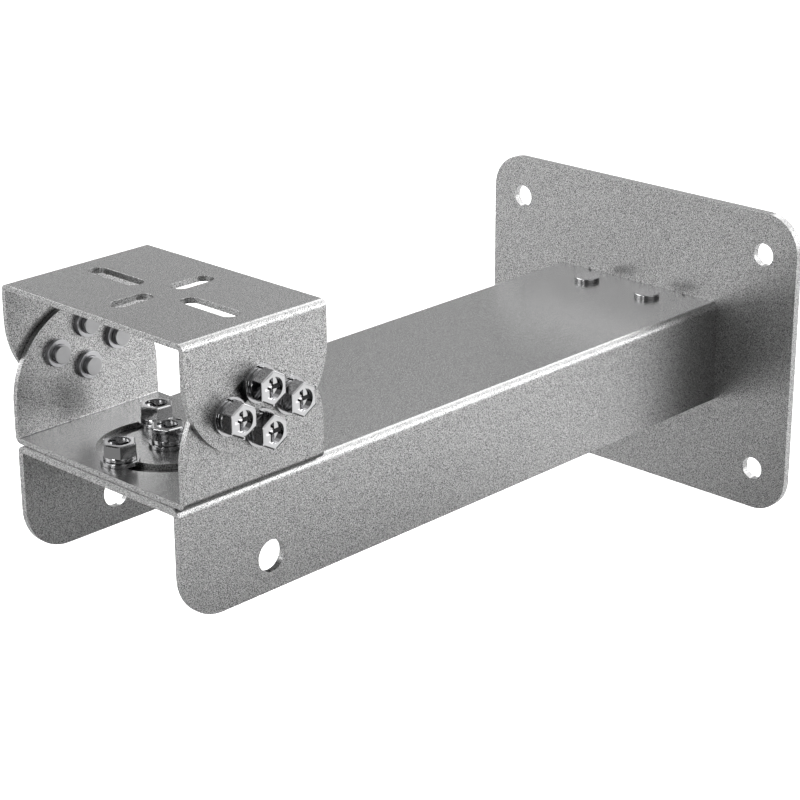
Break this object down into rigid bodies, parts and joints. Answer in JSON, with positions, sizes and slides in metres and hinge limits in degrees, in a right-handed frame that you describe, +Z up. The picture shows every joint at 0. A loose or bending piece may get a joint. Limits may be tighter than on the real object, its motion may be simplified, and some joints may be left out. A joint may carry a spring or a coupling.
{
  "type": "camera wall bracket",
  "caption": "Sheet steel wall bracket for a security camera: wall plate, open channel arm, and a pan and tilt head of two clamped yokes with a slotted camera seat.",
  "frame": {"origin": "centre of the wall plate's back face, which is the centre of the four wall holes", "axes": "+Y into the wall, so the arm reaches out along -Y; +Z up; X across the arm"},
  "size_m": [0.188, 0.349, 0.1683],
  "materials": {
    "sheet": "fine sand-blasted steel sheet, satin silver",
    "fasteners": "polished stainless steel",
    "inserts": "satin zinc-plated steel"
  },
  "bodies": {
    "arm_assembly": {"wall_plate": "sheet", "arm": "sheet", "arm_rivet_left": "fasteners", "arm_rivet_right": "fasteners", "pan_pivot_bolt": "fasteners", "pan_pivot_spring_washer": "fasteners", "pan_pivot_washer": "fasteners", "pan_pivot_press_nut": "inserts", "pan_front_bolt": "fasteners", "pan_front_spring_washer": "fasteners", "pan_front_washer": "fasteners", "pan_front_press_nut": "inserts", "pan_left_bolt": "fasteners", "pan_left_spring_washer": "fasteners", "pan_left_washer": "fasteners", "pan_left_press_nut": "inserts", "pan_right_bolt": "fasteners", "pan_right_spring_washer": "fasteners", "pan_right_washer": "fasteners", "pan_right_press_nut": "inserts"},
    "pan_head": {"lower_yoke": "sheet", "tilt_left_pivot_bolt": "fasteners", "tilt_left_pivot_spring_washer": "fasteners", "tilt_left_pivot_washer": "fasteners", "tilt_left_pivot_press_nut": "inserts", "tilt_left_top_bolt": "fasteners", "tilt_left_top_spring_washer": "fasteners", "tilt_left_top_washer": "fasteners", "tilt_left_top_press_nut": "inserts", "tilt_left_front_bolt": "fasteners", "tilt_left_front_spring_washer": "fasteners", "tilt_left_front_washer": "fasteners", "tilt_left_front_press_nut": "inserts", "tilt_left_back_bolt": "fasteners", "tilt_left_back_spring_washer": "fasteners", "tilt_left_back_washer": "fasteners", "tilt_left_back_press_nut": "inserts", "tilt_right_pivot_bolt": "fasteners", "tilt_right_pivot_spring_washer": "fasteners", "tilt_right_pivot_washer": "fasteners", "tilt_right_pivot_press_nut": "inserts", "tilt_right_top_bolt": "fasteners", "tilt_right_top_spring_washer": "fasteners", "tilt_right_top_washer": "fasteners", "tilt_right_top_press_nut": "inserts", "tilt_right_front_bolt": "fasteners", "tilt_right_front_spring_washer": "fasteners", "tilt_right_front_washer": "fasteners", "tilt_right_front_press_nut": "inserts", "tilt_right_back_bolt": "fasteners", "tilt_right_back_spring_washer": "fasteners", "tilt_right_back_washer": "fasteners", "tilt_right_back_press_nut": "inserts"},
    "camera_table": {"upper_yoke": "sheet"}
  },
  "joints": [
    {"name": "pan", "type": "hinge", "parent": "arm_assembly", "child": "pan_head", "pos_m": [0, -0.3105, 0.028], "axis": [0, 0, 1], "range_deg": [-15, 15]},
    {"name": "tilt", "type": "hinge", "parent": "pan_head", "child": "camera_table", "pos_m": [0, -0.3105, 0.0502], "axis": [1, 0, 0], "range_deg": [-10, 10]}
  ]
}
